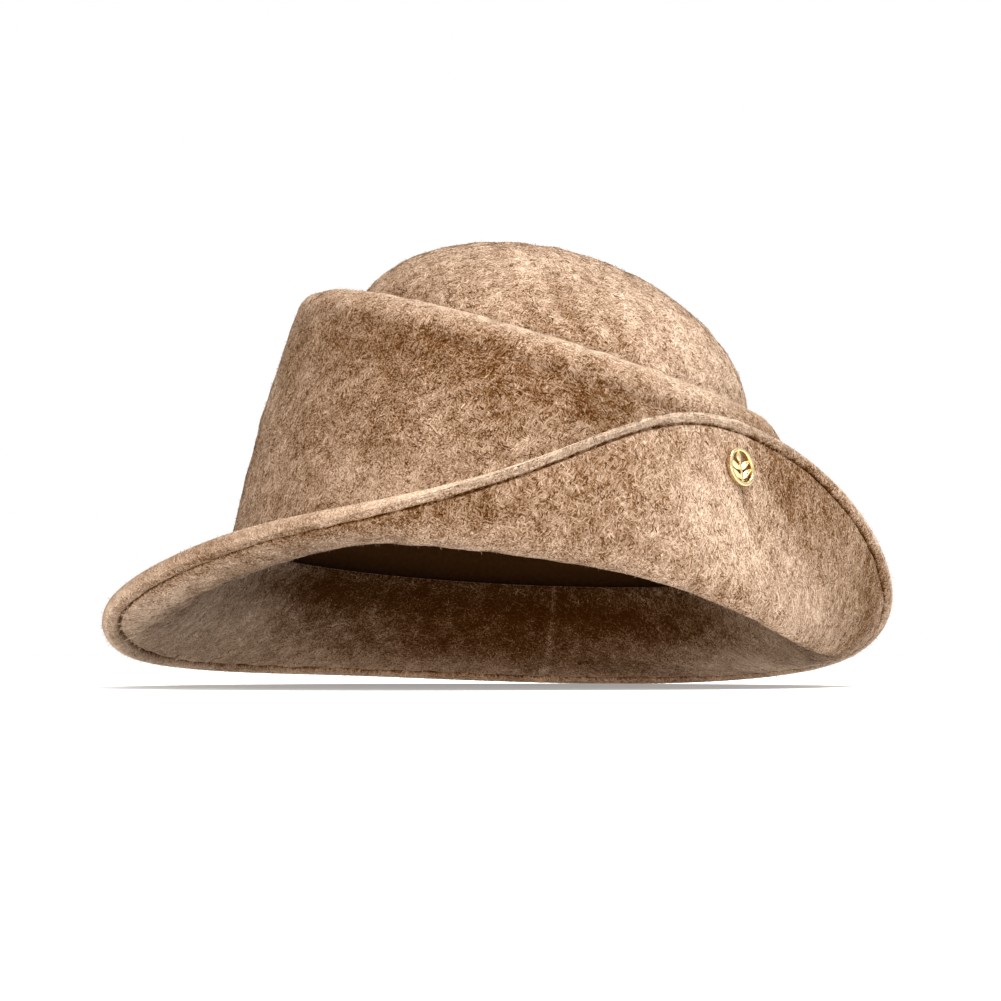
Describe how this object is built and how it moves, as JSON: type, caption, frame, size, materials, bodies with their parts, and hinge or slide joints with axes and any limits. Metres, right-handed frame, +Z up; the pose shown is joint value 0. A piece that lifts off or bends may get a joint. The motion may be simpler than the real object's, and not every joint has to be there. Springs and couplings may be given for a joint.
{
  "type": "fishing hat",
  "caption": "Plush felt hat: leaning domed crown over a folded crown side, wide brim turned up at the front left, dark sweatband and a small pierced emblem.",
  "frame": {"origin": "middle of the hat's box at the level of the brim's lowest point, where it rests on a surface", "axes": "+Z up through the crown, -Y the way the wearer faces, +X to the wearer's left, where the brim is turned up"},
  "size_m": [0.2454, 0.287, 0.1389],
  "materials": {
    "felt": "long-piled camel brown felt",
    "band": "dark brown woven band",
    "gilt": "polished gold plating"
  },
  "bodies": {
    "root": {"crown_dome": "felt", "crown_side": "felt", "brim": "felt", "sweatband": "band", "emblem": "gilt"}
  },
  "joints": []
}
